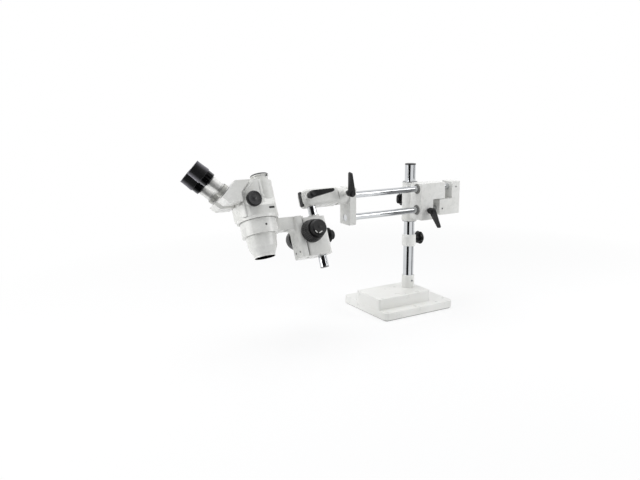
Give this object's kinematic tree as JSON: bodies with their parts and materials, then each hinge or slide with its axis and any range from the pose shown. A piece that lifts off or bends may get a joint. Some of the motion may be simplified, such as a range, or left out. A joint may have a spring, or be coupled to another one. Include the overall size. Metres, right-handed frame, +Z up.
{
  "type": "stereo microscope on a boom stand",
  "caption": "Stereo zoom microscope with inclined eyepieces, held by a focus block and drop post on a boom of paired rods that slides and turns on a weighted column stand.",
  "frame": {"origin": "on the floor under the column's axis", "axes": "+Z up along the column; the boom runs along X with the microscope at -X; the clamp levers face -Y"},
  "size_m": [0.9042, 0.3122, 0.524],
  "materials": {
    "enamelled_steel": "satin",
    "enamelled_aluminium": "satin",
    "black_rubber": "matte",
    "chromed_steel": "polished",
    "steel": "satin",
    "bronze": "satin",
    "black_plastic": "satin",
    "black_aluminium": "matte",
    "silver_aluminium": "satin",
    "optical_glass": "gloss"
  },
  "bodies": {
    "stand": {"base_mat": "black_rubber", "base_plate": "enamelled_steel", "weight_block": "enamelled_steel", "block_screws": "steel", "column_socket": "enamelled_steel", "socket_screw": "steel", "column": "chromed_steel", "column_plug": "steel", "column_bolt": "steel", "column_cap": "black_plastic"},
    "collar": {"safety_collar": "enamelled_steel"},
    "collar_grip": {"collar_knob": "black_plastic"},
    "bushes": {"column_bushes": "bronze"},
    "carriage": {"carriage": "enamelled_aluminium", "rod_bearings": "steel", "rod_seals": "black_rubber"},
    "carriage_grip": {"carriage_knob": "black_plastic"},
    "rod_grip": {"rod_lever": "black_plastic"},
    "boom": {"upper_rod": "chromed_steel", "lower_rod": "chromed_steel", "front_block": "enamelled_aluminium", "rear_end": "enamelled_aluminium", "rear_screws": "steel"},
    "tilt_grip": {"tilt_lever": "black_plastic"},
    "head_arm": {"tilt_spigot": "steel", "tilt_arm": "enamelled_aluminium", "arm_cover": "black_plastic"},
    "post_grip": {"post_lever": "black_plastic"},
    "post": {"drop_post": "chromed_steel", "post_caps": "steel"},
    "focus_body": {"focus_block": "enamelled_aluminium"},
    "block_grip": {"focus_block_knob": "black_plastic"},
    "focus_wheel": {"focus_shaft": "steel", "focus_knobs": "black_plastic", "end_knob": "black_plastic"},
    "focus_carrier": {"focus_slide": "enamelled_aluminium", "focus_rack": "bronze", "holder_ring": "enamelled_aluminium", "holder_screws": "steel"},
    "scope": {"zoom_body": "enamelled_aluminium", "port_cap": "enamelled_aluminium", "objective_barrel": "enamelled_aluminium", "objective_lens": "optical_glass", "zoom_guides": "steel"},
    "zoom_wheel": {"zoom_shaft": "steel", "zoom_knobs": "black_plastic"},
    "zoom_optics": {"zoom_lenses": "black_aluminium"},
    "near_house": {"near_prism_house": "enamelled_aluminium", "near_tube": "silver_aluminium"},
    "near_ring": {"near_diopter": "black_aluminium"},
    "near_ocular": {"near_eyepiece": "black_aluminium", "near_eye_lens": "optical_glass", "near_eyecup": "black_rubber"},
    "far_house": {"far_prism_house": "enamelled_aluminium", "far_tube": "silver_aluminium"},
    "far_ring": {"far_diopter": "black_aluminium"},
    "far_ocular": {"far_eyepiece": "black_aluminium", "far_eye_lens": "optical_glass", "far_eyecup": "black_rubber"}
  },
  "joints": [
    {"name": "collar_height", "type": "slide", "parent": "stand", "child": "collar", "axis": [0, 0, 1], "range_m": [-0.096, 0.004]},
    {"name": "collar_knob_turn", "type": "hinge", "parent": "collar", "child": "collar_grip", "pos_m": [0.023, 0, 0.228], "axis": [1, 0, 0], "range_deg": [0, 360]},
    {"name": "boom_height", "type": "slide", "parent": "stand", "child": "bushes", "axis": [0, 0, 1], "range_m": [-0.038, 0.05]},
    {"name": "boom_swing", "type": "hinge", "parent": "bushes", "child": "carriage", "pos_m": [0, 0, 0.354], "axis": [0, 0, 1], "continuous": true},
    {"name": "carriage_knob_turn", "type": "hinge", "parent": "carriage", "child": "carriage_grip", "pos_m": [0, 0.026, 0.35652], "axis": [0, 1, 0], "range_deg": [0, 360]},
    {"name": "rod_lever_turn", "type": "hinge", "parent": "carriage", "child": "rod_grip", "pos_m": [0.01314, -0.081, 0.3325], "axis": [0, -1, 0], "range_deg": [0, 90]},
    {"name": "boom_reach", "type": "slide", "parent": "carriage", "child": "boom", "axis": [1, 0, 0], "range_m": [-0.025, 0.225]},
    {"name": "tilt_lever_turn", "type": "hinge", "parent": "boom", "child": "tilt_grip", "pos_m": [-0.2985, -0.09, 0.4135], "axis": [0, -1, 0], "range_deg": [-60, 20]},
    {"name": "head_tilt", "type": "hinge", "parent": "boom", "child": "head_arm", "pos_m": [-0.322, -0.055, 0.4005], "axis": [1, 0, 0], "range_deg": [-21, 69]},
    {"name": "post_lever_turn", "type": "hinge", "parent": "head_arm", "child": "post_grip", "pos_m": [-0.4255, -0.08515, 0.41392], "axis": [0, -0.9135, 0.4067], "range_deg": [0, 70]},
    {"name": "post_swivel", "type": "hinge", "parent": "head_arm", "child": "post", "pos_m": [-0.408, -0.055, 0.4005], "axis": [0, 0.4067, 0.9135], "range_deg": [-90, 90]},
    {"name": "post_height", "type": "slide", "parent": "post", "child": "focus_body", "axis": [0, 0.4067, 0.9135], "range_m": [-0.018, 0.017]},
    {"name": "block_knob_turn", "type": "hinge", "parent": "focus_body", "child": "block_grip", "pos_m": [-0.386, -0.10035, 0.29864], "axis": [1, 0, 0], "range_deg": [0, 360]},
    {"name": "focus_turn", "type": "hinge", "parent": "focus_body", "child": "focus_wheel", "pos_m": [-0.442, -0.09588, 0.30869], "axis": [0, 0.9135, -0.4067], "range_deg": [-130, 130]},
    {"name": "focus_travel", "type": "slide", "parent": "focus_body", "child": "focus_carrier", "axis": [0, 0.4067, 0.9135], "range_m": [-0.0219, 0.0219]},
    {"name": "scope_swivel", "type": "hinge", "parent": "focus_carrier", "child": "scope", "pos_m": [-0.582, -0.08347, 0.33655], "axis": [0, 0.4067, 0.9135], "range_deg": [-90, 90]},
    {"name": "zoom_turn", "type": "hinge", "parent": "scope", "child": "zoom_wheel", "pos_m": [-0.604, -0.0548, 0.40096], "axis": [0, 0.9135, -0.4067], "range_deg": [-104, 104]},
    {"name": "zoom_travel", "type": "slide", "parent": "scope", "child": "zoom_optics", "axis": [0, 0.4067, 0.9135], "range_m": [-0.0113, 0.0113]},
    {"name": "near_spacing", "type": "hinge", "parent": "scope", "child": "near_house", "pos_m": [-0.6145, -0.05822, 0.44736], "axis": [-0.7071, 0.2876, 0.646], "range_deg": [-7, 7]},
    {"name": "near_diopter_turn", "type": "hinge", "parent": "near_house", "child": "near_ring", "pos_m": [-0.67955, -0.06937, 0.44691], "axis": [-0.7071, 0.2876, 0.646], "range_deg": [-155, 155]},
    {"name": "near_diopter_travel", "type": "slide", "parent": "near_house", "child": "near_ocular", "axis": [-0.7071, 0.2876, 0.646], "range_m": [-0.00125, 0.00125]},
    {"name": "far_spacing", "type": "hinge", "parent": "scope", "child": "far_house", "pos_m": [-0.6145, -0.01802, 0.42946], "axis": [-0.7071, 0.2876, 0.646], "range_deg": [-7, 7]},
    {"name": "far_diopter_turn", "type": "hinge", "parent": "far_house", "child": "far_ring", "pos_m": [-0.67955, -0.0109, 0.42087], "axis": [-0.7071, 0.2876, 0.646], "range_deg": [-155, 155]},
    {"name": "far_diopter_travel", "type": "slide", "parent": "far_house", "child": "far_ocular", "axis": [-0.7071, 0.2876, 0.646], "range_m": [-0.00125, 0.00125]}
  ],
  "couplings": [
    {"joint": "focus_turn", "follows": "focus_travel", "rad_per_m": 100},
    {"joint": "zoom_turn", "follows": "zoom_travel", "rad_per_m": 153.85},
    {"joint": "near_diopter_turn", "follows": "near_diopter_travel", "rad_per_m": 2083.3},
    {"joint": "far_diopter_turn", "follows": "far_diopter_travel", "rad_per_m": 2083.3},
    {"joint": "far_spacing", "follows": "near_spacing", "ratio": -1}
  ]
}
